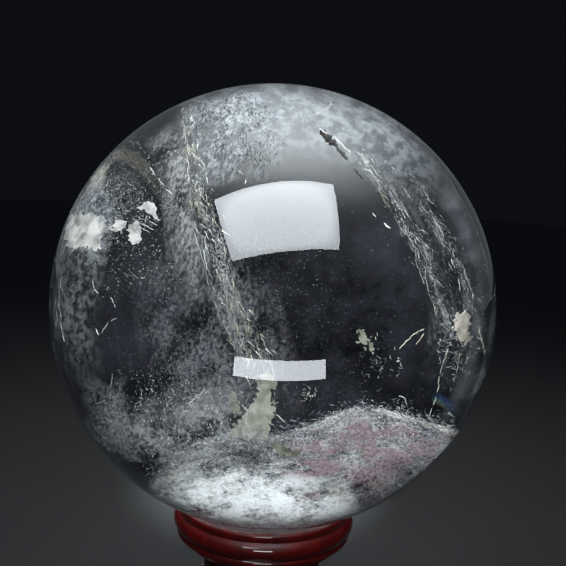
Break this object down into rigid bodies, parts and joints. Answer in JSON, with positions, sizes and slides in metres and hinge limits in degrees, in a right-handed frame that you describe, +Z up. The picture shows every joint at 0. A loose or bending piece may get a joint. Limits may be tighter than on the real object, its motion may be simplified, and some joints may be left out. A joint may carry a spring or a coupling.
{
  "type": "crystal ball",
  "caption": "Polished ball of natural rock crystal with cloudy veils inside, resting on a felt ring in a small turned and lacquered wooden stand.",
  "frame": {"origin": "on the table, under the centre of the stand", "axes": "+Z up through the middle of the stand and the centre of the ball"},
  "size_m": [0.08, 0.08, 0.102],
  "materials": {
    "rock_crystal": "polished natural quartz, clear with white veils",
    "crystal_veil": "healed cracks and inclusions inside the quartz, white to cream",
    "red_lacquer": "turned wood under glossy dark red lacquer",
    "seat_felt": "dark pressed felt",
    "base_felt": "dark pressed felt",
    "screw_steel": "bright zinc-plated steel"
  },
  "bodies": {
    "stand": {"stand_cup": "red_lacquer", "stand_foot": "red_lacquer", "joining_screw": "screw_steel", "base_felt": "base_felt"},
    "seat": {"seat_ring": "seat_felt"},
    "ball": {"crystal_ball": "rock_crystal"}
  },
  "joints": [
    {"name": "ball_turn", "type": "hinge", "parent": "stand", "child": "seat", "pos_m": [0, 0, 0.0222], "axis": [0, 0, 1], "continuous": true},
    {"name": "ball_lift", "type": "slide", "parent": "seat", "child": "ball", "axis": [0, 0, 1], "range_m": [0, 0.06]}
  ]
}
